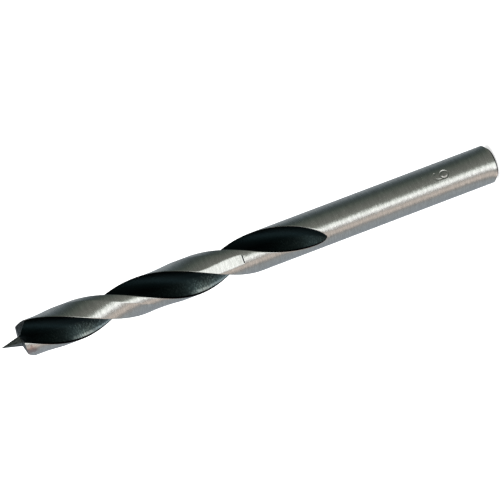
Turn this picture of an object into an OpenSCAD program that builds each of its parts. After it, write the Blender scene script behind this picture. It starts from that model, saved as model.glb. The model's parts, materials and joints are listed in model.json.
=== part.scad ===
// Wood drill bit, ground from one round steel bar.
// The bit stands on the end of its shank, and +Z runs along its axis to the spur.

/* [Overall] */
// Cutting diameter, over the margins
bit_d = 9; // [6:0.5:14]
// Length from the shank's end to the tip of the spur
total_l = 121; // [105:1:150]

/* [Shank] */
// Diameter of the round shank
shank_d = 9; // [6:0.5:14]
// Width of the bevel round the shank's end, along the axis and across it
shank_chamfer = 1.25; // [0.2:0.05:2]

/* [Flutes] */
// Length from the tip of the spur to where the flutes run out
flute_l = 77.5; // [65:0.5:95]
// Part of that length over which the cutter lifts out
runout_l = 17; // [8:0.5:30]
// Length in which a flute goes once round the bit
flute_lead = 57.5; // [40:0.5:90]
// Distance between the straight walls of the two flutes, across the axis
web_t = 2.2; // [1.4:0.1:3]
// Distance from the axis at which a straight wall starts to curve
wall_foot = 1; // [0.4:0.1:1.8]
// Angle between the two edges of a flute
flute_angle = 96; // [85:1:105]
// Direction in which the cutter lifts, from the line of the lip
lift_angle = 95; // [80:1:105]

/* [Lands] */
// Angle taken by the full-diameter margin behind a leading edge
margin_angle = 23; // [18:1:40]
// Depth to which the relieved land falls from the margin to the heel
relief_depth = 0.25; // [0.05:0.05:0.5]
// Extra depth at the middle of the relieved land, which is ground flatter
relief_hollow = 0.2; // [0:0.01:0.25]
// Length from the tip of the spur to the step where the relief ends
relief_l = 57.6; // [30:0.1:64]

/* [Point] */
// Height of the spur above its root
spur_l = 4.7; // [2:0.1:7]
// Width of the spur at its root, over two of its corners
spur_w = 2.6; // [1.2:0.05:3]
// Slope of a lip, from the spur's root down to the outer corner
lip_slope = 3; // [0:0.5:15]
// Clearance angle of the ground end behind a lip
clearance = 2; // [1:0.5:12]
// Distance behind a lip, beside the spur, of the ridge where the heel's gash starts
heel_start = 2.2; // [1:0.1:3]
// Angle between a lip and that ridge
ridge_angle = 16; // [0:1:25]
// Depth of the gash at the heel
heel_drop = 1.9; // [0:0.05:3]

/* [Hidden] */

steel = [0.62, 0.62, 0.63];
r_bit = bit_d / 2;
r_shank = shank_d / 2;
r_relief = r_bit - relief_depth;

// Heights from the shank's end
z_root = total_l - spur_l;
z_flute_end = total_l - flute_l;
z_full_depth = z_flute_end + runout_l;
z_relief_end = total_l - relief_l;

// Length of the slope in which the relief ends at its step
step_l = 0.25;
// Height of the first ring in the run-out above the end of the flutes
first_l = 0.12;
// Length left below the ground end for the last ring of the flutes
last_l = 0.3;
// Least share of a flute's wall that its straight part takes in the mesh
least_wall = 0.12;
// Play by which the fluted bar stays inside the edge of the shank's face
seat_play = 0.01;

// Flat strips in half a section: the flute's straight wall, its curved wall before and
// after the line square to the lip, the relieved land, and the margin behind and ahead
// of the line of the lip
n_wall = 4;
n_curve = 4;
n_rise = 8;
n_relief = 8;
n_back = 2;
n_front = 2;
// Rings along the run-out, along the flutes, up to the ground end and across it
n_runout = 16;
n_flute = 46;
n_up = 3;
n_across = 9;

// In a section the lip of the first land lies along +X, half a web above the axis
lip_y = web_t / 2;
lead_angle = asin(lip_y / r_bit);
heel_angle = lead_angle + flute_angle;
heel_at = polar(r_relief, heel_angle);
wall_rise = heel_at[1] - lip_y;
// Radius of the arc that leaves the straight wall at its foot and ends in the heel
curve_r = (pow(wall_foot - heel_at[0], 2) + pow(wall_rise, 2)) / (2 * wall_rise);
curve_centre = [wall_foot, lip_y + curve_r];
// The cutter's lift at the end of the run-out, where it has just left the bar
lift_dir = polar(1, lift_angle);
lift_along = curve_centre * lift_dir;
lift_full = sqrt(pow(lift_along, 2) - pow(norm(curve_centre), 2) + pow(r_bit + curve_r, 2))
    - lift_along;
cutter_r = (pow(runout_l, 2) + pow(lift_full, 2)) / (2 * lift_full);
// Turns along the curved wall from its foot: to the line square to the lip, and to the heel
cross_turn = asin(wall_foot / curve_r);
heel_turn = curve_turn(curve_centre, r_relief, 1);
// Distances of a heel behind the line of its lip and behind the ridge of its gash
heel_behind = lip_y - r_relief * sin(heel_angle - 180);
heel_past = past_ridge(-heel_at);
spur_r = spur_w / 2;

function polar(r, a) = [r * cos(a), r * sin(a)];
function turned(p, a) = [p[0] * cos(a) - p[1] * sin(a), p[0] * sin(a) + p[1] * cos(a)];
function twist(z) = 360 * (z - z_root) / flute_lead;
function arc_length(r, turn) = r * turn * PI / 180;

// How far the cutter has lifted at a height: it leaves along an arc of its own radius
function lift(z) =
    let (back = max(0, min(runout_l, z_full_depth - z)))
    cutter_r - sqrt(pow(cutter_r, 2) - pow(back, 2));

// Turn along the curved wall at which it crosses a circle of radius r round the axis
function curve_turn(centre, r, side) =
    let (far = norm(centre),
         half_open = acos((r * r + far * far - curve_r * curve_r) / (2 * r * far)),
         p = centre - polar(r, atan2(centre[1], centre[0]) + side * half_open))
    atan2(p[0], p[1]);

function curve_point(centre, turn) = centre - curve_r * [sin(turn), cos(turn)];

// Radius of a land at a share of its relieved width, from 0 at the margin to 1 at the heel
function land_r(share, relieved) =
    relieved ? r_bit - relief_depth * share - relief_hollow * 4 * share * (1 - share) : r_bit;

// Half a section: the flute from a leading edge to the next heel, then the land behind it
function half_section(z, relieved) =
    let (centre = curve_centre + lift(z) * lift_dir,
         foot = [wall_foot, lip_y] + lift(z) * lift_dir,
         has_wall = norm(foot) < r_bit,
         turn_a = has_wall ? 0 : curve_turn(centre, r_bit, -1),
         turn_b = curve_turn(centre, land_r(1, relieved), 1),
         corner = has_wall ? [sqrt(pow(r_bit, 2) - pow(foot[1], 2)), foot[1]]
             : curve_point(centre, turn_a),
         wall_l = has_wall ? corner[0] - foot[0] : 0,
         curve_l = arc_length(curve_r, turn_b - turn_a),
         wall_end = max(wall_l, least_wall * (wall_l + curve_l)),
         cross = wall_end + (wall_l + curve_l - wall_end) * cross_turn / heel_turn,
         edge = atan2(corner[1], corner[0]),
         heel = curve_point(centre, turn_b),
         heel_a = atan2(heel[1], heel[0]),
         margin_a = 180 + edge - margin_angle,
         lip_a = 180 + edge - lead_angle,
         way = concat([for (i = [0:n_wall - 1]) wall_end * i / n_wall],
             [for (i = [0:n_curve - 1]) wall_end + (cross - wall_end) * i / n_curve],
             [for (i = [0:n_rise - 1]) cross + (wall_l + curve_l - cross) * i / n_rise]))
    concat(
        [for (s = way) s < wall_l ? corner - [s, 0]
            : curve_point(centre, turn_a + (s - wall_l) / arc_length(curve_r, 1))],
        [for (i = [0:n_relief - 1])
            polar(land_r(1 - i / n_relief, relieved), heel_a + (margin_a - heel_a) * i / n_relief)],
        [for (i = [0:n_back - 1]) polar(r_bit, margin_a + (lip_a - margin_a) * i / n_back)],
        [for (i = [0:n_front - 1]) polar(r_bit, lip_a + lead_angle * i / n_front)]);

// A whole section is the half section and the same turned by half a turn
function section(z, relieved) =
    let (half = half_section(z, relieved))
    concat(half, -half);

function placed(p, z, share = 1) = concat(turned(p, share * twist(z)), z);
function ring(z) = [for (p = section(z, z > z_relief_end)) placed(p, z)];

// How far a point on the first land's side lies past the ridge of the gash
function past_ridge(q) =
    max(0, lip_y - q[1] - heel_start - tan(ridge_angle) * q[0]) * cos(ridge_angle);

// Height of the ground end at a point of the section, from its distances behind its own
// lip, out from the spur and past the ridge
function end_z(p) =
    let (q = p[0] < 0 ? -p : p,
         behind = max(0, lip_y - q[1]),
         left = 1 - min(1, past_ridge(q) / heel_past))
    z_root - tan(clearance) * behind - tan(lip_slope) * max(0, norm(p) - spur_r)
        - heel_drop * (1 - pow(left, 2));

function spur_z(p) = total_l - spur_l * (abs(p[0]) + abs(p[1])) / spur_r;

// The spur's root on the line from the axis to a point of the section, closed in on by halving
function root_share(p, low = 0, high = 1, n = 14) =
    n == 0 ? (low + high) / 2 :
    let (mid = (low + high) / 2)
    spur_z(mid * p) > end_z(mid * p) ? root_share(p, mid, high, n - 1)
        : root_share(p, low, mid, n - 1);

// Heights of the rings, from the end of the flutes to just under the ground end
z_last = z_root - last_l - heel_drop - tan(clearance) * heel_behind - tan(lip_slope) * r_bit;
even_z = concat(
    [for (i = [0:n_runout - 1])
        z_flute_end + first_l + (runout_l - first_l) * pow(i / n_runout, 1.5)],
    [for (i = [0:n_flute]) z_full_depth + (z_last - z_full_depth) * i / n_flute]);
ring_z = concat(
    [for (z = even_z) if (z < z_relief_end - step_l) z],
    [z_relief_end, z_relief_end + step_l],
    [for (z = even_z) if (z > z_relief_end + 2 * step_l) z]);

module fluted_bar() {
    seat_r = min(r_bit, r_shank - seat_play);
    top = section(z_root, true);
    top_z = [for (p = top) max(end_z(p), spur_z(p))];
    root = [for (p = top) spur_z(p) > end_z(p) ? p : root_share(p) * p];
    // The bar starts in a round seat on the shank's face, then follows the sections
    rings = concat(
        [[for (p = ring(ring_z[0])) concat(polar(seat_r, atan2(p[1], p[0])), z_flute_end)]],
        [for (z = ring_z) ring(z)],
        [for (j = [1:n_up])
            [for (k = [0:len(top) - 1]) placed(top[k], z_last + (top_z[k] - z_last) * j / n_up)]],
        [for (j = [1:n_across])
            [for (k = [0:len(top) - 1])
                let (p = top[k] + (root[k] - top[k]) * j / n_across)
                placed(p, max(end_z(p), spur_z(p)), 1 - j / n_across)]]);
    n = len(top);
    m = len(rings);
    points = concat([for (r = rings) each r], [[0, 0, z_flute_end], [0, 0, total_l]]);
    faces = concat(
        [for (i = [0:m - 2]) for (k = [0:n - 1]) each
            let (a = i * n + k, b = i * n + (k + 1) % n)
            [[a, b + n, b], [a, a + n, b + n]]],
        [for (k = [0:n - 1]) [k, (k + 1) % n, m * n]],
        [for (k = [0:n - 1]) [(m - 1) * n + (k + 1) % n, (m - 1) * n + k, m * n + 1]]);
    polyhedron(points, faces);
}

module shank() {
    $fn = 96;
    cylinder(h = shank_chamfer, r1 = r_shank - shank_chamfer, r2 = r_shank);
    translate([0, 0, shank_chamfer])
        cylinder(h = z_flute_end - shank_chamfer, r = r_shank);
}

module drill_bit() {
    color(steel) {
        fluted_bar();
        shank();
    }
}

drill_bit();
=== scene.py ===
# %% [markdown]
# # A wood drill bit, ground from one steel bar
#
# A brad-point bit is a single piece of tool steel. Its shank is a plain round, its two
# flutes are helical grooves that keep a skin of black oxide, and its lands and shank were
# ground bright afterwards. So the lesson has one piece with three finishes, and most of
# its look comes from how bright steel shows its surroundings.
#
# The CAD model is the frame: one node, `drill_bit`, which stands on the end of its shank
# with +Z up to the tip of the spur.

# %% Load the frame
import json
from cmath import phase, rect
from math import acos, asin, atan2, cos, exp, hypot, pi, radians, sqrt, tan

import bpy
from mathutils import Matrix, Vector


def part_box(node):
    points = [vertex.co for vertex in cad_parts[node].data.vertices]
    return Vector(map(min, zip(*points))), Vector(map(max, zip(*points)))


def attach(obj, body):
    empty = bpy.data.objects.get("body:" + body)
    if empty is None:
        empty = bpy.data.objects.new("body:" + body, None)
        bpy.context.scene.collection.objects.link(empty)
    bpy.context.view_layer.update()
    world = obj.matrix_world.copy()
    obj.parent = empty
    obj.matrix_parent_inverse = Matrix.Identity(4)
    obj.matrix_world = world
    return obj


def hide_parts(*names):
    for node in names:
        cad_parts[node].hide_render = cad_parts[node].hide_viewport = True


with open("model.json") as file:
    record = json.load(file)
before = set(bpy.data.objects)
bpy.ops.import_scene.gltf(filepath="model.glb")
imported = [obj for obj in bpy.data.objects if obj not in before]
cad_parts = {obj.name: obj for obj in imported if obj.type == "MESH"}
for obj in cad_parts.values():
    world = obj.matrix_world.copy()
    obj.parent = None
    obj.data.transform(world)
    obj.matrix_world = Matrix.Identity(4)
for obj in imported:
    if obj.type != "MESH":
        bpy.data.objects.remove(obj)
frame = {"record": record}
bpy.ops.object.select_all(action="DESELECT")
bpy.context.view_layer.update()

# %% [markdown]
# ## The camera
#
# The bit lies aslant in the picture although it stands upright in the frame, so the
# camera is rolled on its side. It stands a long way off with a long lens: the far end of
# the bit is hardly smaller than the near one. Its place is given the way a photographer
# would say it: how far round the bit, how far off, how high, how far it looks down, and
# how far it is rolled.

# %% Camera
MM = 0.001
CAMERA_AZIMUTH = radians(21.59)
CAMERA_DISTANCE = 661.3 * MM
CAMERA_ASIDE = 0.85 * MM
CAMERA_HEIGHT = 200.6 * MM
CAMERA_TILT = radians(11.97)
CAMERA_ROLL = radians(-110.75)
SENSOR_W = 36
LENS = 216
CLIP_END = 20

bpy.ops.object.camera_add()
camera = bpy.context.object
camera.name = "camera"
camera.data.sensor_width = SENSOR_W
camera.data.lens = LENS
camera.data.clip_end = CLIP_END
spot = rect(CAMERA_DISTANCE, CAMERA_AZIMUTH) + rect(CAMERA_ASIDE, CAMERA_AZIMUTH + pi / 2)
turn = (
    Matrix.Rotation(CAMERA_AZIMUTH + pi / 2, 4, "Z")
    @ Matrix.Rotation(pi / 2 - CAMERA_TILT, 4, "X")
    @ Matrix.Rotation(CAMERA_ROLL, 4, "Z")
)
camera.matrix_world = Matrix.Translation((spot.real, spot.imag, CAMERA_HEIGHT)) @ turn
bpy.context.scene.camera = camera
print("camera at", [round(c / MM, 1) for c in camera.matrix_world.translation], "mm")

# %% [markdown]
# ## Writing materials as sums
#
# A material is a sheet of nodes. Linking Math nodes by hand is slow to read, so a small
# class wraps a node's output and gives it Python's operators: `1 - mask` then adds the
# Math node that does it. `Sheet.node` adds any other node, with its settings first and
# the values or links of its sockets after them.


# %% Sheets and sockets
class Wire:
    """A node's output, on which + - * and / add Math nodes."""

    def __init__(self, sheet, socket):
        self.sheet = sheet
        self.socket = socket

    def math(self, operation, *values, clamp=False):
        settings = {"operation": operation, "use_clamp": clamp}
        return self.sheet.node("ShaderNodeMath", settings, *values)

    def __add__(self, other):
        return self.math("ADD", self, other)

    def __radd__(self, other):
        return self.math("ADD", other, self)

    def __sub__(self, other):
        return self.math("SUBTRACT", self, other)

    def __rsub__(self, other):
        return self.math("SUBTRACT", other, self)

    def __mul__(self, other):
        return self.math("MULTIPLY", self, other)

    def __rmul__(self, other):
        return self.math("MULTIPLY", other, self)

    def __truediv__(self, other):
        return self.math("DIVIDE", self, other)

    def clamped(self):
        return self.math("ADD", self, 0, clamp=True)

    def rising(self, low, high):
        """0 below low, 1 above high, and a smooth rise between them."""
        settings = {"interpolation_type": "SMOOTHSTEP"}
        sockets = {"Value": self, "From Min": low, "From Max": high}
        return self.sheet.node("ShaderNodeMapRange", settings, **sockets)


class Sheet:
    """The nodes of one material or of the world."""

    def __init__(self, owner):
        owner.use_nodes = True
        self.tree = owner.node_tree
        self.tree.nodes.clear()

    def node(self, kind, settings=None, *values, out=0, **named):
        """Adds a node, sets it up, fills its sockets in order or by name, and gives one output."""
        new = self.tree.nodes.new(kind)
        for name, value in (settings or {}).items():
            if name == "stops":
                self.fill_ramp(new.color_ramp, value)
            else:
                setattr(new, name, value)
        for key, value in [*enumerate(values), *named.items()]:
            if isinstance(value, Wire):
                self.tree.links.new(value.socket, new.inputs[key])
            else:
                new.inputs[key].default_value = value
        return Wire(self, new.outputs[out]) if new.outputs else new

    @staticmethod
    def fill_ramp(ramp, stops):
        while len(ramp.elements) < len(stops):
            ramp.elements.new(0.5)
        for element, (place, colour) in zip(ramp.elements, stops):
            element.position = place
            element.color = (*colour, 1)

    def mix(self, share, first, second):
        """A colour between two colours."""
        new = self.tree.nodes.new("ShaderNodeMix")
        new.data_type = "RGBA"
        for key, value in ((0, share), (6, first), (7, second)):
            if isinstance(value, Wire):
                self.tree.links.new(value.socket, new.inputs[key])
            else:
                new.inputs[key].default_value = (*value, 1) if key else value
        return Wire(self, new.outputs[2])

    def height(self, where):
        return self.node("ShaderNodeSeparateXYZ", None, where, out="Z")

    def noise(self, where, scale, detail=2.0, roughness=0.5):
        settings = {"noise_dimensions": "3D"}
        sockets = {"Vector": where, "Scale": scale, "Detail": detail, "Roughness": roughness}
        return self.node("ShaderNodeTexNoise", settings, **sockets)

    def bump(self, height, distance):
        sockets = {"Strength": 1.0, "Distance": distance, "Height": height}
        return self.node("ShaderNodeBump", None, **sockets)

    def metal(self, colour, roughness, normal, **others):
        sockets = {"Base Color": colour, "Metallic": 1.0, "Roughness": roughness, "Normal": normal}
        self.finish(self.node("ShaderNodeBsdfPrincipled", None, **sockets, **others))

    def finish(self, shader, kind="ShaderNodeOutputMaterial"):
        self.node(kind, None, Surface=shader)


# %% [markdown]
# ## Floor and world
#
# The floor is white to the camera, and still takes the bit's shadow: part of its light is
# its own, and the rest comes from the lamps. Mirrors and glass see it as the camera does.
# The world is white to the camera too, and dimmer as a light.

# %% Floor and world
WHITE = (1, 1, 1)
FLOOR_GREY = (0.8, 0.8, 0.8)
FLOOR_OWN_LIGHT = 0.62
FLOOR_R = 3
SKY_LIGHT = 0.55


def seen(sheet):
    """1 for a ray of the camera, of a mirror or of glass, and 0 for any other."""
    path = {"Is Camera Ray", "Is Glossy Ray", "Is Transmission Ray"}
    rays = [sheet.node("ShaderNodeLightPath", None, out=name) for name in sorted(path)]
    return (rays[0] + rays[1] + rays[2]).clamped()


def floor_finish():
    finish = bpy.data.materials.new("white_floor")
    sheet = Sheet(finish)
    lit = sheet.node("ShaderNodeBsdfDiffuse", None, Color=(*FLOOR_GREY, 1))
    own = sheet.node("ShaderNodeEmission", None, Color=(*WHITE, 1), Strength=FLOOR_OWN_LIGHT)
    both = sheet.node("ShaderNodeAddShader", None, lit, own)
    sheet.finish(sheet.node("ShaderNodeMixShader", None, seen(sheet), lit, both))
    return finish


bpy.ops.mesh.primitive_circle_add(vertices=64, radius=FLOOR_R, fill_type="NGON")
floor = bpy.context.object
floor.name = "floor"
floor.data.materials.append(floor_finish())

world = bpy.data.worlds.new("studio")
bpy.context.scene.world = world
sheet = Sheet(world)
strength = SKY_LIGHT + (1 - SKY_LIGHT) * seen(sheet)
sky = sheet.node("ShaderNodeBackground", None, Color=(*WHITE, 1), Strength=strength)
sheet.finish(sky, "ShaderNodeOutputWorld")

# %% [markdown]
# ## The light tent
#
# Bright steel has hardly a colour of its own. What it shows is the light tent around it,
# and that is how such tools are photographed: a bright strip beside the lens, dark cards
# on one side, a warm card and a cool card on the other. Each card could be a plane of its
# own, but a dozen planes are hard to keep in order. So the tent here is one round wall
# with a base and a lid, set close round the bit, and only reflections see it. Its cards
# are the stops of a ramp that runs once round the bit, from behind it, past the lens, to
# behind again.

# %% Light tent
TENT_R = 60 * MM
TENT_H = 260 * MM
TENT_LIFT = 0.2 * MM
TENT_LIGHT = 1.7
# The cards end at this height, and above it the tent is dim up to its lid
CARDS_TOP = 150 * MM
CARDS_FADE = 40 * MM
LID_DIMMED = 0.9
# Degrees round from the lens, towards the picture's lower side, and the card's colour
CARDS = [
    (-180, (0.24, 0.26, 0.28)),
    (-128, (0.18, 0.20, 0.21)),
    (-106, (0.080, 0.098, 0.105)),
    (-89, (0.046, 0.058, 0.058)),
    (-74, (0.046, 0.058, 0.052)),
    (-55, (0.080, 0.092, 0.079)),
    (-35, (0.112, 0.117, 0.105)),
    (-14, (0.148, 0.153, 0.136)),
    (-2, (0.20, 0.21, 0.19)),
    (8, (0.86, 0.90, 0.85)),
    (24, (1.00, 1.00, 0.99)),
    (30, (0.40, 0.40, 0.38)),
    (35, (0.25, 0.24, 0.23)),
    (46, (0.46, 0.41, 0.37)),
    (60, (0.54, 0.47, 0.42)),
    (69, (0.22, 0.21, 0.20)),
    (88, (0.25, 0.27, 0.28)),
    (130, (0.22, 0.24, 0.26)),
    (180, (0.24, 0.26, 0.28)),
]


def tent_finish():
    finish = bpy.data.materials.new("tent_cards")
    sheet = Sheet(finish)
    place = sheet.node("ShaderNodeTexCoord", None, out="Object")
    turned = {"Vector": place, "Rotation": (0, 0, CAMERA_AZIMUTH)}
    from_lens = sheet.node("ShaderNodeMapping", {"vector_type": "TEXTURE"}, **turned)
    x = sheet.node("ShaderNodeSeparateXYZ", None, from_lens, out="X")
    y = sheet.node("ShaderNodeSeparateXYZ", None, from_lens, out="Y")
    share = 0.5 - x.math("ARCTAN2", y, x) / (2 * pi)
    stops = [(0.5 + angle / 360, colour) for angle, colour in CARDS]
    cards = sheet.node("ShaderNodeValToRGB", {"stops": stops}, share)
    above = sheet.height(from_lens).rising(CARDS_TOP, CARDS_TOP + CARDS_FADE)
    strength = TENT_LIGHT * (1 - LID_DIMMED * above)
    sheet.finish(sheet.node("ShaderNodeEmission", None, cards, strength))
    finish.cycles.emission_sampling = "NONE"
    return finish


bpy.ops.mesh.primitive_circle_add(
    vertices=96, radius=TENT_R, fill_type="NGON", location=(0, 0, TENT_LIFT)
)
tent = bpy.context.object
tent.name = "light_tent"
bpy.ops.object.mode_set(mode="EDIT")
bpy.ops.mesh.select_all(action="SELECT")
bpy.ops.mesh.region_to_loop()
bpy.ops.mesh.extrude_region_move(TRANSFORM_OT_translate={"value": (0, 0, TENT_H)})
bpy.ops.mesh.edge_face_add()
bpy.ops.object.mode_set(mode="OBJECT")
tent.data.materials.append(tent_finish())
tent.visible_camera = False
tent.visible_diffuse = False
tent.visible_shadow = False
print("cards", len(CARDS), "faces of the tent", len(tent.data.polygons))

# %% [markdown]
# ## Lamps
#
# Three square lamps light the floor and give the bit its soft shadow. They stay out of
# the reflections, because the tent does that work.

# %% Lamps
# Side of the square lamp, its place and its power in watts
LAMPS = {
    "overhead": (0.9, (0.1, 0.0, 1.2), 9),
    "behind": (0.6, (-0.9, -0.45, 0.8), 7),
    "beside": (0.5, (0.3, -0.9, 0.6), 3),
}
for name, (side, place, watts) in LAMPS.items():
    bpy.ops.object.light_add(type="AREA", location=place)
    lamp = bpy.context.object
    lamp.name = name
    lamp.data.size = side
    lamp.data.energy = watts
    lamp.visible_glossy = False
    lamp.rotation_euler = Vector(place).to_track_quat("Z", "Y").to_euler()
print("lamps", len(LAMPS))

# %% [markdown]
# ## Sizes of the bit
#
# The frame says how long and how thick the bit is. The rest are the sizes that a tool
# maker would put on the drawing: the lead of the flutes, the web between them, the margin
# that rubs in the hole, the relief behind it, and the spur that centres the bit.

# %% Sizes, in millimetres
low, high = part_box("drill_bit")
TOTAL_L = high.z / MM
BIT_R = high.x / MM
SHANK_R = frame["record"]["mounts"][0]["dims"]["r_mm"]
BEVEL = 1.25
FLUTE_L = 77.5
RUNOUT_L = 17
LEAD = 57.5
WEB = 2.2
WALL_FOOT = 1
FLUTE_ANGLE = radians(96)
LIFT_ANGLE = radians(95)
MARGIN_ANGLE = radians(23)
RELIEF_DEPTH = 0.25
RELIEF_HOLLOW = 0.2
RELIEF_L = 57.6
SPUR_L = 4.7
SPUR_W = 2.6
LIP_SLOPE = tan(radians(3))
CLEARANCE = tan(radians(2))
RIDGE_START = 2.2
RIDGE_ANGLE = radians(16)
HEEL_DROP = 1.9
STEP_L = 0.25
# Above the step the wheel lifts out over this length, and its last pass leaves a flat,
# which grows deeper and turns a little with each millimetre above the step
EXIT_L = 15
FLAT_L = 11
FLAT_AZIMUTH = radians(15.9)
FLAT_HALF_W = 1.1
FLAT_FALL = 0.022
FLAT_TURN = radians(-0.3)
# Width of the worn edge where two ground faces meet
EDGE_W = 0.1

LIP_Y = WEB / 2
SPUR_R = SPUR_W / 2
Z_ROOT = TOTAL_L - SPUR_L
Z_FLUTE = TOTAL_L - FLUTE_L
Z_FULL = Z_FLUTE + RUNOUT_L
Z_RELIEF = TOTAL_L - RELIEF_L
steps = [round(z, 2) for z in (Z_FLUTE, Z_FULL, Z_RELIEF, Z_ROOT)]
print("run-out from and to, step, and spur's root", steps)

# %% [markdown]
# ## The section of the flutes
#
# Across the axis, half of the bit is one flute and the land behind it. The flute has a
# straight wall, which ends in the cutting lip, and an arc that rises to the heel of the
# next land. Along the run-out the wheel lifts out of the bar, so the same wall and arc
# slide outwards until nothing is left of them. A Screw modifier alone could twist one
# section up the axis, but it can't let the section change on the way, so each height gets
# a section of its own. Complex numbers are handy here: a point of the section is one
# number, and turning it is one multiplication.

# %% Section
LEAD_ANGLE = asin(LIP_Y / BIT_R)
HEEL_ANGLE = LEAD_ANGLE + FLUTE_ANGLE
R_HEEL = BIT_R - RELIEF_DEPTH
HEEL = rect(R_HEEL, HEEL_ANGLE)
RISE = HEEL.imag - LIP_Y
CURVE_R = ((WALL_FOOT - HEEL.real) ** 2 + RISE**2) / (2 * RISE)
CURVE_CENTRE = complex(WALL_FOOT, LIP_Y + CURVE_R)
LIFT_DIR = rect(1, LIFT_ANGLE)
ALONG = (CURVE_CENTRE * LIFT_DIR.conjugate()).real
LIFT_FULL = sqrt(ALONG**2 - abs(CURVE_CENTRE) ** 2 + (BIT_R + CURVE_R) ** 2) - ALONG
WHEEL_R = (RUNOUT_L**2 + LIFT_FULL**2) / (2 * LIFT_FULL)
CROSS_TURN = asin(WALL_FOOT / CURVE_R)
HEEL_BEHIND = LIP_Y + HEEL.imag
# Flat strips along each run of half a section
N_WALL, N_CURVE, N_RISE, N_RELIEF, N_BACK, N_FRONT = 9, 7, 16, 28, 6, 8
# Share of the way across a flute that its worn edge takes at most, and its wall at least
EDGE_MOST, WALL_LEAST = 0.1, 0.12


def lift(z):
    """How far the wheel has lifted at a height."""
    back = max(0, min(RUNOUT_L, Z_FULL - z))
    return WHEEL_R - sqrt(WHEEL_R**2 - back**2)


def curve_turn(centre, r, side):
    """Turn along the arc at which it crosses a circle of radius r round the axis."""
    far = abs(centre)
    opening = acos((r * r + far * far - CURVE_R**2) / (2 * r * far))
    p = centre - rect(r, phase(centre) + side * opening)
    return atan2(p.real, p.imag)


def curve_point(centre, turn):
    return centre - CURVE_R * complex(0, 1) * rect(1, -turn)


HEEL_TURN = curve_turn(CURVE_CENTRE, R_HEEL, 1)


def land_r(share, relief):
    """Radius of a land, from 0 at its margin to 1 at its heel, with so much of its relief."""
    return BIT_R - relief * (RELIEF_DEPTH * share + RELIEF_HOLLOW * 4 * share * (1 - share))


def smooth(t):
    t = max(0, min(1, t))
    return t * t * (3 - 2 * t)


def eased(before, corner, after):
    """The middle of a corner that wear has rounded."""
    return (before + 2 * corner + after) / 4


def half_section(z, relief):
    """One flute and the land behind it, from the worn edge of the lip to the next one."""
    move = lift(z) * LIFT_DIR
    centre = CURVE_CENTRE + move
    foot = complex(WALL_FOOT, LIP_Y) + move
    has_wall = abs(foot) < BIT_R
    turn_a = 0 if has_wall else curve_turn(centre, BIT_R, -1)
    turn_b = curve_turn(centre, land_r(1, relief), 1)
    if has_wall:
        corner = complex(sqrt(BIT_R**2 - foot.imag**2), foot.imag)
    else:
        corner = curve_point(centre, turn_a)
    wall = corner.real - foot.real if has_wall else 0
    curve = CURVE_R * (turn_b - turn_a)
    ease = min(EDGE_W, EDGE_MOST * (wall + curve))

    def along(s):
        return corner - s if s < wall else curve_point(centre, turn_a + (s - wall) / CURVE_R)

    stop = wall + curve - ease
    wall_end = max(wall, WALL_LEAST * (wall + curve))
    cross = wall_end + (wall + curve - wall_end) * CROSS_TURN / HEEL_TURN
    way = [ease + (wall_end - ease) * i / N_WALL for i in range(N_WALL)]
    way += [wall_end + (cross - wall_end) * i / N_CURVE for i in range(N_CURVE)]
    way += [cross + (stop - cross) * i / N_RISE for i in range(N_RISE + 1)]
    flute = [along(s) for s in way]

    heel = curve_point(centre, turn_b)
    edge_a = phase(corner)
    heel_a = phase(heel)
    start_a = heel_a + ease / BIT_R
    margin_a = pi + edge_a - MARGIN_ANGLE
    lip_a = pi + edge_a - LEAD_ANGLE
    last_a = pi + edge_a - ease / BIT_R
    land = [
        rect(land_r(1 - i / N_RELIEF, relief), start_a + (margin_a - start_a) * i / N_RELIEF)
        for i in range(N_RELIEF)
    ]
    land += [rect(BIT_R, margin_a + (lip_a - margin_a) * i / N_BACK) for i in range(N_BACK)]
    land += [rect(BIT_R, lip_a + (last_a - lip_a) * i / N_FRONT) for i in range(N_FRONT + 1)]
    return [
        eased(-land[-1], corner, flute[0]),
        *flute,
        eased(flute[-1], heel, land[0]),
        *land,
    ]


def section(z, relief=1.0):
    """The half section, and the same turned by half a turn."""
    half = half_section(z, relief)
    return half + [-p for p in half]


N = len(section(Z_ROOT))
N_FLUTE = N_WALL + N_CURVE + N_RISE + 1
print("points in a section", N)


def placed(p, z, share=1.0):
    """A point of the section at its height, turned along the helix."""
    q = p * rect(1, share * 2 * pi * (z - Z_ROOT) / LEAD)
    return (q.real, q.imag, z)


def flatted(q, z):
    """A point held back to the flats of the wheel's last pass, above the step."""
    above = z - Z_RELIEF
    if not 0 < above < FLAT_L:
        return q
    flat_at = sqrt(BIT_R**2 - FLAT_HALF_W**2) - FLAT_FALL * above
    for side in (0, pi):
        out = (q * rect(1, -FLAT_AZIMUTH - FLAT_TURN * above - side)).real
        if out > flat_at:
            q *= flat_at / out
    return q


def flute_ring(z):
    relief = smooth((z - Z_RELIEF) / EXIT_L)
    ring = [placed(p, z) for p in section(z, relief)]
    return [(q.real, q.imag, z) for q in (flatted(complex(x, y), z) for x, y, z in ring)]


# %% [markdown]
# ## The shank and its stamped figure
#
# The shank is a plain round with a bevelled end. A single figure, the diameter, is
# struck into it along the axis, with its head towards the shank's end. A figure cut by a
# Boolean would leave long slivers that spoil the shine of the round, so the rings and
# columns of the mesh crowd together under the figure instead, and the steel is pushed in
# there by the distance from the figure's strokes: a loop, and a tail that hooks round.

# %% Shank
STAMP_AZIMUTH = radians(39.5)
STAMP_Z = 13.8
STAMP_HALF_W = 1.75
STAMP_HALF_L = 2.45
# The loop is an ellipse above the figure's middle, and the tail is part of a taller one a
# little to the left: half their widths and heights, and how far they are off the middle
LOOP_W, LOOP_H, LOOP_UP = 0.86, 0.92, 0.88
TAIL_W, TAIL_H, TAIL_LEFT = 0.98, 1.76, 0.10
TAIL_FROM, TAIL_TO = radians(-138), radians(28)
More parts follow.
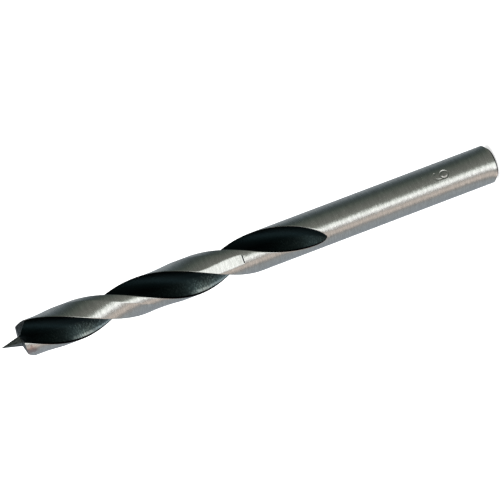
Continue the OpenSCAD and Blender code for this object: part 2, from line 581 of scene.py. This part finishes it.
# Millimetres for each unit of distance from the two ellipses
LOOP_R, TAIL_R = (LOOP_W + LOOP_H) / 2, 1.22
# The punch went in deepest at the loop and at the tail's tip
STAMP_DEPTHS = (0.17, 0.045, 0.15)
STROKE_R = 0.2
BURR = 0.012
BURR_AT = 1.6 * STROKE_R
BURR_R = 0.5 * STROKE_R
# Above this height the columns slide from the figure's sides to the flutes' ends
SLIDE_LOW = 17.5
FIRST_L = 0.12
EASE_END = 0.12


def stroke_gaps(right, up):
    """Distances from the figure's loop, its tail and the tail's tip. It is 3.6 mm high."""
    loop = abs(hypot(right / LOOP_W, (up - LOOP_UP) / LOOP_H) - 1) * LOOP_R
    on_tail = complex((right + TAIL_LEFT) / TAIL_W, up / TAIL_H)
    tail = abs(abs(on_tail) - 1) * TAIL_R
    ends = [rect(1, a) for a in (TAIL_FROM, TAIL_TO)]
    ends = [complex(TAIL_W * q.real - TAIL_LEFT, TAIL_H * q.imag) for q in ends]
    tip, root = [abs(complex(right, up) - q) for q in ends]
    if not TAIL_FROM < phase(on_tail) < TAIL_TO:
        tail = min(tip, root)
    return loop, tail, tip


def stamped_r(azimuth, z):
    """Radius of the shank at a place, lower in the strokes and a hair higher beside them."""
    across = (STAMP_AZIMUTH - azimuth) * SHANK_R
    if abs(across) > STAMP_HALF_W or abs(z - STAMP_Z) > STAMP_HALF_L:
        return SHANK_R
    gaps = stroke_gaps(across, STAMP_Z - z)
    groove = max(d * exp(-((gap / STROKE_R) ** 4)) for d, gap in zip(STAMP_DEPTHS, gaps))
    burr = BURR * exp(-(((min(gaps) - BURR_AT) / BURR_R) ** 2))
    return SHANK_R - groove + burr


# Angles of the columns where the flutes end, made to rise all the way round
end_a = [phase(complex(x, y)) for x, y, z in flute_ring(Z_FLUTE + FIRST_L)]
for k in range(1, N):
    while end_a[k] < end_a[k - 1]:
        end_a[k] += 2 * pi
# The columns of the flute that ends nearest to the figure crowd together under it
halves = (0, N // 2)
nearest = min(halves, key=lambda k: abs(((end_a[k] - STAMP_AZIMUTH + pi) % (2 * pi)) - pi))
crowd = STAMP_HALF_W / SHANK_R
middle = STAMP_AZIMUTH + 2 * pi * round((end_a[nearest] - STAMP_AZIMUTH) / (2 * pi))
stamp_a = [0.0] * N
for i in range(N):
    k = (nearest + i) % N
    wraps = 2 * pi * ((nearest + i) // N)
    if i <= N_FLUTE:
        place = middle - crowd + 2 * crowd * i / N_FLUTE
    else:
        place = middle + crowd + (2 * pi - 2 * crowd) * (i - N_FLUTE) / (N - N_FLUTE)
    stamp_a[k] = place - wraps


def shank_ring(z, r=None):
    """A ring of the shank: its columns slide from the flutes' ends to the figure's sides."""
    share = smooth((z - SLIDE_LOW) / (Z_FLUTE - SLIDE_LOW))
    ring = []
    for k in range(N):
        a = stamp_a[k] + (end_a[k] - stamp_a[k]) * share
        q = rect(r if r is not None else stamped_r(a, z), a)
        ring.append((q.real, q.imag, z))
    return ring


def bevelled_end():
    """Rings over the bevel, whose two corners are eased."""
    ends = complex(0, 0), complex(SHANK_R, 3 * BEVEL)
    corners = [ends[0], complex(SHANK_R - BEVEL, 0), complex(SHANK_R, BEVEL), ends[1]]
    way = []
    for back, corner, on in zip(corners, corners[1:], corners[2:]):
        before = corner + EASE_END * (back - corner) / abs(back - corner)
        after = corner + EASE_END * (on - corner) / abs(on - corner)
        middle = eased(before, corner, after)
        first = eased(before, (before + corner) / 2, middle)
        last = eased(middle, (corner + after) / 2, after)
        way += [before, first, middle, last, after]
    return [shank_ring(p.imag, p.real) for p in way]


# %% [markdown]
# ## The ground point
#
# The end is ground in one go with the spur: the two lips slope down a little from the
# spur's root, the ground falls away behind each lip, and falls further to the heel. The
# spur is a slim four-sided pyramid whose corners stand on the line of the lips and
# square to it. Bisecting the blank with a plane for each ground face would also do it,
# but the cuts would break the columns of the mesh. So a function gives the height of the
# ground at each place of the section, and the rings close in on the spur.


# %% Point
def past_ridge(q):
    """How far a point on the first land's side lies past the ridge of the heel's gash."""
    past = LIP_Y - q.imag - RIDGE_START - tan(RIDGE_ANGLE) * q.real
    return max(0, past) * cos(RIDGE_ANGLE)


HEEL_PAST = past_ridge(-HEEL)


def end_z(p):
    """Height of the ground end at a point of the section."""
    q = -p if p.real < 0 else p
    behind = max(0, LIP_Y - q.imag)
    left = 1 - min(1, past_ridge(q) / HEEL_PAST)
    out = max(0, abs(p) - SPUR_R)
    return Z_ROOT - CLEARANCE * behind - LIP_SLOPE * out - HEEL_DROP * (1 - left**2)


def spur_z(p):
    return TOTAL_L - SPUR_L * (abs(p.real) + abs(p.imag)) / SPUR_R


HALVINGS = 20


def root_share(p):
    """Where the spur's root crosses the line from the axis to p, closed in on by halving."""
    below, above = 0.0, 1.0
    for _ in range(HALVINGS):
        share = (below + above) / 2
        if spur_z(share * p) > end_z(share * p):
            below = share
        else:
            above = share
    return above


N_UP, N_ACROSS, N_SPUR = 6, 22, 8
# The first ring of the ground end lies this share of the way in from the edge
FIRST_IN = 0.004


def point_rings(z_last):
    """Rings from the last whole section up to the ground end, across it and up the spur."""
    top = section(Z_ROOT)
    top_z = [max(end_z(p), spur_z(p)) for p in top]
    root = [p if spur_z(p) > end_z(p) else root_share(p) * p for p in top]
    rings = []
    for j in range(1, N_UP + 1):
        way = [(p, z_last + (h - EDGE_W - z_last) * j / N_UP) for p, h in zip(top, top_z)]
        rings.append([placed(p, z) for p, z in way])
    for j in range(N_ACROSS + 1):
        share = FIRST_IN + (1 - FIRST_IN) * j / N_ACROSS
        way = [p + (q - p) * share for p, q in zip(top, root)]
        rings.append([placed(p, max(end_z(p), spur_z(p)), 1 - share) for p in way])
    for j in range(1, N_SPUR + 1):
        way = [q * (1 - j / N_SPUR) for q in root]
        rings.append([(p.real, p.imag, spur_z(p)) for p in way])
    return rings


# %% [markdown]
# ## Drawing the blank up and grinding it
#
# The blank is a circle, drawn up by a Screw modifier into a tube with as many rings as
# the bit needs. Each ring is then put on its section, as the wheel would leave it at that
# height. Cutting helical grooves out of a cylinder with a Boolean would be quicker to
# write, but its slivers would crease the shine. This way the mesh is all four-sided, the
# edges run along the helix, and every column keeps to its own face: flute, worn edge or
# land.

# %% Rings from the shank's end to the tip
N_BELOW, N_STAMP, N_SLIDE, N_RUNOUT, N_ALONG = 10, 66, 26, 34, 150
# The first plain ring lies this high, past the rings of the bevel
BELOW_Z = 1.6 * BEVEL
# Rings of the run-out crowd to its shallow end by this power
CROWDING = 1.6
LAST_L = 0.3


def heights(start, end, count, power=1):
    """Heights from start up to end, without the end itself."""
    return [start + (end - start) * (i / count) ** power for i in range(count)]


z_last = Z_ROOT - LAST_L - HEEL_DROP - CLEARANCE * HEEL_BEHIND - LIP_SLOPE * BIT_R
shank_z = heights(BELOW_Z, STAMP_Z - STAMP_HALF_L, N_BELOW)
shank_z += heights(STAMP_Z - STAMP_HALF_L, STAMP_Z + STAMP_HALF_L, N_STAMP)
shank_z += heights(STAMP_Z + STAMP_HALF_L, Z_FLUTE, N_SLIDE) + [Z_FLUTE]
rings = bevelled_end() + [shank_ring(z) for z in shank_z]
n_shank = len(rings)
flute_z = heights(Z_FLUTE + FIRST_L, Z_FULL, N_RUNOUT, CROWDING)
flute_z += heights(Z_FULL, z_last, N_ALONG) + [z_last]
rings += [flute_ring(z) for z in flute_z if z < Z_RELIEF - STEP_L]
n_step = len(rings)
rings += [flute_ring(z) for z in (Z_RELIEF, Z_RELIEF + STEP_L)]
rings += [flute_ring(z) for z in flute_z if z > Z_RELIEF + 2 * STEP_L]
rings += point_rings(z_last)
n_end = len(rings) - N_SPUR - 1
print("rings", len(rings), "columns", N)

# %% The blank
bpy.ops.mesh.primitive_circle_add(vertices=N, radius=SHANK_R * MM)
bit = bpy.context.object
bit.name = "ground_bit"
draw = bit.modifiers.new("drawn up", "SCREW")
draw.angle = 0
draw.screw_offset = TOTAL_L * MM
draw.steps = len(rings) - 1
draw.render_steps = draw.steps
draw.use_smooth_shade = False
bpy.ops.object.modifier_apply(modifier=draw.name)
assert len(bit.data.vertices) == N * len(rings)
bit.data.vertices.foreach_set(
    "co", [c * MM for ring in rings for point in ring for c in point]
)
bit.data.update()

# %% [markdown]
# ## Three finishes
#
# Every face knows its ring and its column from its vertices, so the finishes go on by
# counting: columns of a flute above the shank are oxide, and so is the corner of the
# relief's step. The ground end and the spur are the point's finish, and the rest is
# bright.

# %% Finishes on faces
BRIGHT, OXIDE, POINT = range(3)
CORNER_DEPTH = 0.02
for name in ("bright_steel", "flute_oxide", "point_steel"):
    bit.data.materials.append(bpy.data.materials.new(name))


def in_corner(ring, place):
    """True in the corner of the relief's step, on faces deeper than CORNER_DEPTH."""
    if ring != n_step:
        return False
    q = complex(place.x, place.y) / MM
    return BIT_R - abs(q) > CORNER_DEPTH


for face in bit.data.polygons:
    ring = min(v // N for v in face.vertices)
    columns = [v % N for v in face.vertices]
    column = max(columns) if {0, N - 1} <= set(columns) else min(columns)
    in_flute = column % (N // 2) < N_FLUTE
    if ring >= n_end - N_ACROSS:
        face.material_index = POINT
    elif ring >= n_shank - 1 and (in_flute or in_corner(ring, face.center)):
        face.material_index = OXIDE
    else:
        face.material_index = BRIGHT

# Place across a flute: 0 to 1 over the straight wall, on to 2 under the axis, 3 at the heel
across = [i / N_WALL for i in range(N_WALL)]
across += [1 + i / N_CURVE for i in range(N_CURVE)]
across += [2 + i / N_RISE for i in range(N_RISE + 1)]
across = [0] + across + [3] * (N // 2 - len(across) - 1)
kept = bit.data.attributes.new("across_flute", "FLOAT", "POINT")
kept.data.foreach_set("value", across * 2 * len(rings))
counts = [sum(f.material_index == k for f in bit.data.polygons) for k in (BRIGHT, OXIDE, POINT)]
print("faces of bright steel, oxide and point", counts)

# %% [markdown]
# ## Closing the ends
#
# The blank is still an open tube. A face closes the shank's end, and the last ring, which
# has all its points on the tip of the spur, merges into one point. Edges sharper than the
# angle below stay sharp, such as the lips, and the rest is smooth.

# %% Close the ends and shade
MERGE_GAP = 0.0005 * MM
SMOOTH_ANGLE = radians(32)

bpy.ops.object.mode_set(mode="EDIT")
bpy.ops.mesh.select_all(action="DESELECT")
bpy.ops.mesh.select_mode(type="EDGE")
bpy.ops.object.mode_set(mode="OBJECT")
for edge in bit.data.edges:
    edge.select = max(edge.vertices) < N
bpy.ops.object.mode_set(mode="EDIT")
bpy.ops.mesh.edge_face_add()
bpy.ops.mesh.select_all(action="SELECT")
bpy.ops.mesh.remove_doubles(threshold=MERGE_GAP)
bpy.ops.mesh.normals_make_consistent(inside=False)
bpy.ops.object.mode_set(mode="OBJECT")
bpy.ops.object.shade_smooth_by_angle(angle=SMOOTH_ANGLE)
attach(bit, "root")
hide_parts("drill_bit")
print("faces", len(bit.data.polygons))

# %% [markdown]
# ## The ground steel
#
# The shank and the lands were ground round and round, so the marks lie round the bit:
# long across the axis and short along it. They tilt the surface a little this way and
# that, which frays the edge of every reflection, and the marks that catch more polish
# are a shade lighter. Grinding marks also stretch a highlight across themselves, which
# is what the Anisotropic socket does.

# %% Bright steel
STEEL_LIGHT = (0.67, 0.67, 0.66)
STEEL_DARK = (0.50, 0.50, 0.49)
STEEL_ROUGHNESS = 0.29
# How much smoother the steel is where it took the most polish, and how far the wide and
# the fine marks change the polish
POLISH_GAIN = 0.10
WIDE_SHARE, FINE_SHARE = 1.6, 1.3
STEEL_BUMP = 0.1 * MM
BRUSHED = {"Anisotropic": 0.8, "Anisotropic Rotation": 0.25}
# Painted shade darkens the very end of the shank, next to the floor, up to a height
# between these two
STEEL_PAINTED_SHADE = (0.012, 0.013, 0.015)
SHADE_FROM, SHADE_TO = 0.40, 0.52
SHADE_SHARE = 0.97
# The stained steel behind one lip: its colour, its middle, its reach, how ragged its edge
# is, and its strength
STEEL_STAIN = (0.36, 0.26, 0.25)
STAIN_AT = (4.2, -1.3, 115.1)
STAIN_R = 1.5
STAIN_RAGGED = 2.2
STAIN_SHARE = 0.75


def in_mm(sheet):
    """The point's place on the bit, in millimetres."""
    place = sheet.node("ShaderNodeTexCoord", None, out="Object")
    return sheet.node("ShaderNodeVectorMath", {"operation": "SCALE"}, place, Scale=1 / MM)


def marks(sheet, mm, around, along, detail=3.0, roughness=0.6):
    """Grinding marks: how many there are per millimetre across the axis and along it."""
    rings = sheet.node("ShaderNodeMapping", None, Vector=mm, Scale=(around, around, along))
    return sheet.noise(rings, 1.0, detail, roughness)


def bright_steel():
    sheet = Sheet(bpy.data.materials["bright_steel"])
    mm = in_mm(sheet)
    wide = marks(sheet, mm, 0.4, 2.0)
    fine = marks(sheet, mm, 0.6, 4.2, 2.0)
    frayed = marks(sheet, mm, 0.45, 2.6, 3.0, 0.62)
    polish = (0.5 + WIDE_SHARE * (wide - 0.5) + FINE_SHARE * (fine - 0.5)).clamped()
    colour = sheet.mix(polish, STEEL_DARK, STEEL_LIGHT)
    away = sheet.node("ShaderNodeVectorMath", {"operation": "DISTANCE"}, mm, STAIN_AT, out="Value")
    patchy = away + STAIN_RAGGED * (sheet.noise(mm, 1.3, 2.0) - 0.5)
    stained = 1 - patchy.rising(0.5 * STAIN_R, STAIN_R)
    colour = sheet.mix(STAIN_SHARE * stained, colour, STEEL_STAIN)
    # Painted shade: the foot of the shank, where it stands on the floor, is darkened
    shaded_foot = 1 - sheet.height(mm).rising(SHADE_FROM, SHADE_TO)
    colour = sheet.mix(SHADE_SHARE * shaded_foot, colour, STEEL_PAINTED_SHADE)
    roughness = STEEL_ROUGHNESS - POLISH_GAIN * polish
    sheet.metal(colour, roughness, sheet.bump(frayed, STEEL_BUMP), **BRUSHED)


bright_steel()

# %% [markdown]
# ## The oxide in the flutes
#
# The flutes kept the dark skin of the steam oven. It is nearly black, with a hint of blue
# and green. On the straight wall behind each lip, the crests of the wheel's marks are worn
# thin. At two heights the wall is painted lighter in patches, with a nearly bare rim beside
# the edge: this is partly wear and partly painted glints and highlights, where the wall
# catches the bright card. The edge itself gets a painted black line, a painted dark
# reflection of the edge where it curves away. A painted picture could show all that, but it
# would need an unwrapped helix. So the mesh carries how far across the flute each point
# lies, and the finish follows the flute by that number.

# %% Oxide in the flutes
OXIDE_DEEP = (0.0085, 0.0155, 0.0180)
OXIDE_WALL = (0.019, 0.030, 0.032)
# Lighter colours of the patches and the bare rim: partly wear, partly painted glint and highlight
OXIDE_THIN_AND_GLINT = (0.19, 0.26, 0.26)
OXIDE_BARE_AND_HIGHLIGHT = (0.66, 0.78, 0.78)
# Painted dark reflection: the black line along the lip's edge, where it curves away
OXIDE_PAINTED_EDGE_LINE = (0.002, 0.002, 0.003)
OXIDE_ROUGHNESS = 0.40
# How much smoother the oxide is where it is thin, and where glints are painted
THIN_AND_GLINT_GAIN = 0.12
OXIDE_BUMP = 0.08 * MM
# Height of one patch of wear and painted glint, half the way to the next one, how far
# a patch fades out, and the height below which there are none
PATCH_Z = 70
PATCH_STEP = LEAD / 4
PATCH_CORE, PATCH_REACH = 1.5, 7.5
PATCH_LOW = 55
PATCH_FADE = 6
# Places across the flute, in the measure of the attribute, between which the painted black
# line, the bare rim with its painted highlight, the wear and painted glint beside it, and
# the wall fade out
DARK_LINE_END = (0.10, 0.14)
RIM_END = (0.25, 0.42)
WEAR_AND_GLINT_END = (0.1, 1.0)
WALL_END = (0.3, 2.0)
# Crests that stand this high are thin or bare and show painted glints, and away from the
# patches few of them are
THIN_AND_GLINT_CRESTS = (0.47, 0.66)
BARE_AND_HIGHLIGHT_CRESTS = (0.36, 0.56)
SPECK_SHARE = 0.6
RIM_WEAR_AND_GLINT = 0.6
OUTSIDE_PATCHES = 0.2


def flute_oxide():
    sheet = Sheet(bpy.data.materials["flute_oxide"])
    mm = in_mm(sheet)
    across = sheet.node("ShaderNodeAttribute", {"attribute_name": "across_flute"}, out="Fac")
    crests = marks(sheet, mm, 1.4, 4.2, 3.0, 0.7)
    specks = sheet.noise(mm, 3.4, 2.0, 0.6)
    z = sheet.height(mm)
    # Painted glints: patches at two heights, partly wear and partly painted highlight
    wear_and_glint_patch = 1 - z.math("PINGPONG", z - PATCH_Z, PATCH_STEP).rising(PATCH_CORE, PATCH_REACH)
    wear_and_glint_patch = wear_and_glint_patch * z.rising(PATCH_LOW, PATCH_LOW + PATCH_FADE)
    on_wall = 1 - across.rising(*WALL_END)
    crest = (crests + SPECK_SHARE * specks) / (1 + SPECK_SHARE)
    thin_and_glint = crest.rising(*THIN_AND_GLINT_CRESTS) * on_wall * (OUTSIDE_PATCHES + (1 - OUTSIDE_PATCHES) * wear_and_glint_patch)
    thin_and_glint = (thin_and_glint + RIM_WEAR_AND_GLINT * (1 - across.rising(*WEAR_AND_GLINT_END)) * wear_and_glint_patch).clamped()
    # Painted highlight: the nearly bare rim beside the edge, inside the patches
    rim_and_highlight = (1 - across.rising(*RIM_END)) * wear_and_glint_patch * crest.rising(*BARE_AND_HIGHLIGHT_CRESTS)
    colour = sheet.mix(on_wall, OXIDE_DEEP, OXIDE_WALL)
    colour = sheet.mix(thin_and_glint, colour, OXIDE_THIN_AND_GLINT)
    colour = sheet.mix(rim_and_highlight, colour, OXIDE_BARE_AND_HIGHLIGHT)
    # Painted dark reflection: a black line along the edge of the lip
    colour = sheet.mix(1 - across.rising(*DARK_LINE_END), colour, OXIDE_PAINTED_EDGE_LINE)
    roughness = OXIDE_ROUGHNESS - THIN_AND_GLINT_GAIN * thin_and_glint
    sheet.metal(colour, roughness, sheet.bump(crests, OXIDE_BUMP))


flute_oxide()

# %% [markdown]
# ## The ground point
#
# The end and the spur are ground steel with a mottled grey between bright steel and
# oxide: the mottle is the grinding, and the darker tone is painted shade on the point's
# faces. The spur keeps lengthwise marks. One noise would do for both, but it would make
# the spur spotted, so a second one, stretched along the axis, takes over there.


# %% Ground point
# Painted shade: the point is ground steel like the lands, set darker for the shade on its faces
POINT_LIGHT = (0.26, 0.28, 0.28)
POINT_DARK = (0.09, 0.10, 0.105)
POINT_ROUGHNESS = 0.42
POINT_BUMP = 0.03 * MM
SPUR_FADE = 0.4
MOTTLE_SPAN = (0.35, 0.65)


def point_steel():
    sheet = Sheet(bpy.data.materials["point_steel"])
    mm = in_mm(sheet)
    mottle = sheet.noise(mm, 1.8, 3.0, 0.65)
    lengthwise = sheet.node("ShaderNodeMapping", None, Vector=mm, Scale=(5, 5, 0.5))
    streaks = sheet.noise(lengthwise, 1.0, 2.0)
    on_spur = sheet.height(mm).rising(Z_ROOT, Z_ROOT + SPUR_FADE)
    spots = mottle.rising(*MOTTLE_SPAN) * (1 - on_spur)
    share = spots + streaks.rising(*MOTTLE_SPAN) * on_spur
    colour = sheet.mix(share, POINT_DARK, POINT_LIGHT)
    sheet.metal(colour, POINT_ROUGHNESS, sheet.bump(mottle, POINT_BUMP))


point_steel()

# %% [markdown]
# ## View settings
#
# The view stays plain, so that white is white.

# %% View settings
bpy.context.scene.view_settings.view_transform = "Standard"
